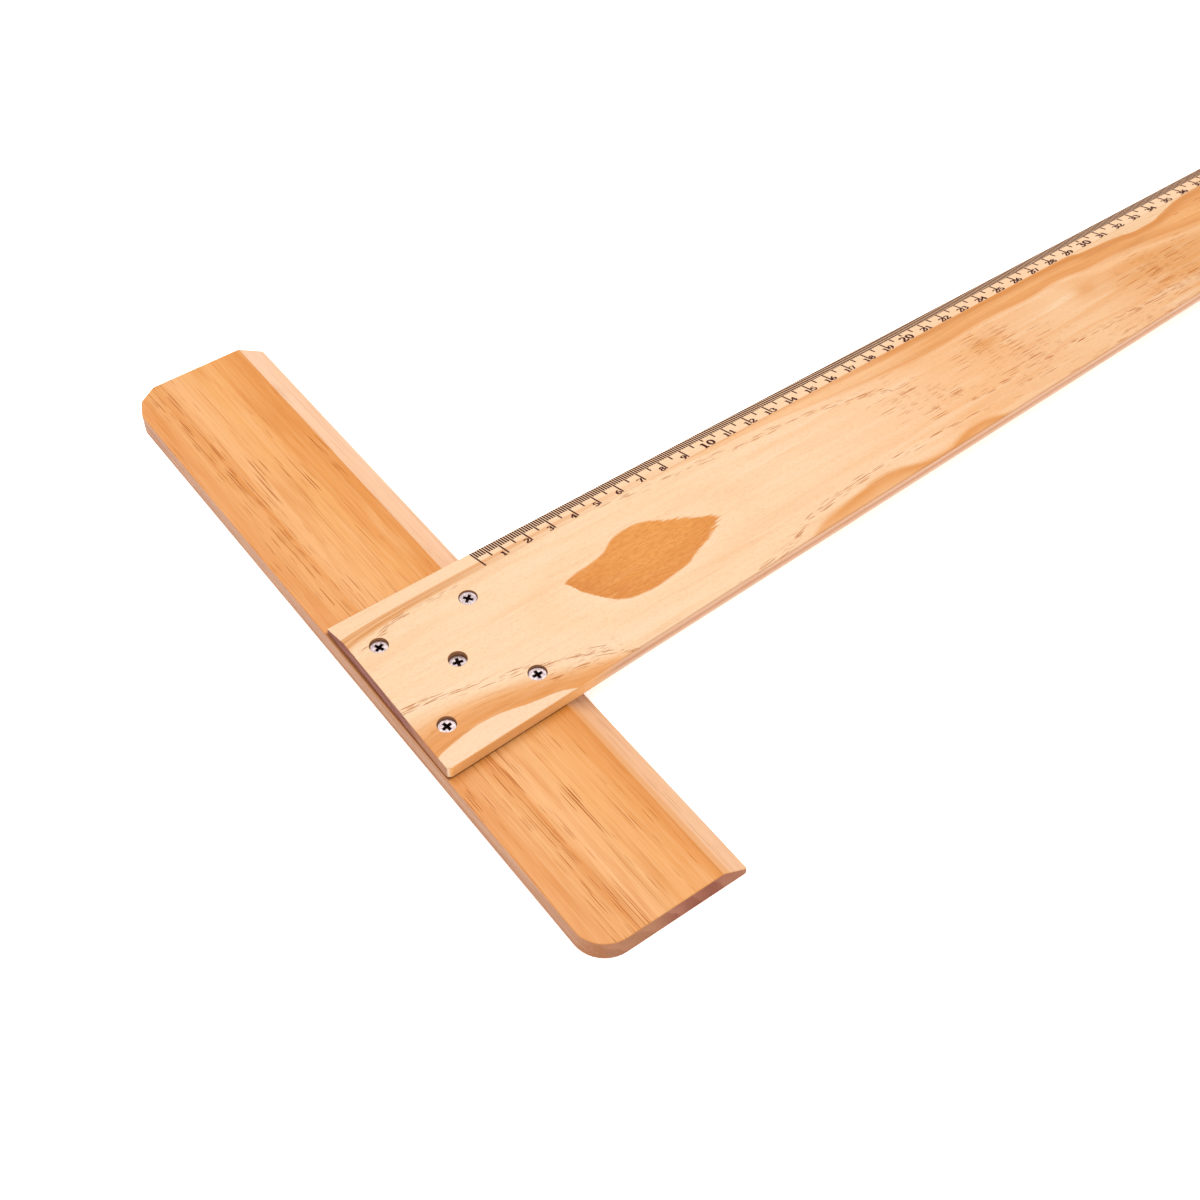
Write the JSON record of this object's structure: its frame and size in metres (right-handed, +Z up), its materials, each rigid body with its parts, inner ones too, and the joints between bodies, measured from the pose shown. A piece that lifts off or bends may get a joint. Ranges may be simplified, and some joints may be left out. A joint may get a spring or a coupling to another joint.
{
  "type": "t square",
  "caption": "Wooden T square with a bevelled head, a tapered blade carrying a centimetre scale on its bevelled drawing edge, and countersunk screws.",
  "frame": {"origin": "centre of the head's underside", "axes": "+X along the blade away from the head, +Y from the blade towards its drawing edge, +Z up out of the blade's printed face"},
  "size_m": [0.79, 0.3, 0.014],
  "materials": {
    "head_wood": "satin varnished pine, straight grained, orange",
    "blade_wood": "satin varnished pine, pale, flat sawn",
    "screw_steel": "bright zinc or nickel plating",
    "scale_ink": "matte black-brown printing ink"
  },
  "bodies": {
    "root": {"head": "head_wood", "blade": "blade_wood", "screw_upper_outer": "screw_steel", "screw_upper_inner": "screw_steel", "screw_middle": "screw_steel", "screw_lower_outer": "screw_steel", "screw_lower_inner": "screw_steel"}
  },
  "joints": []
}
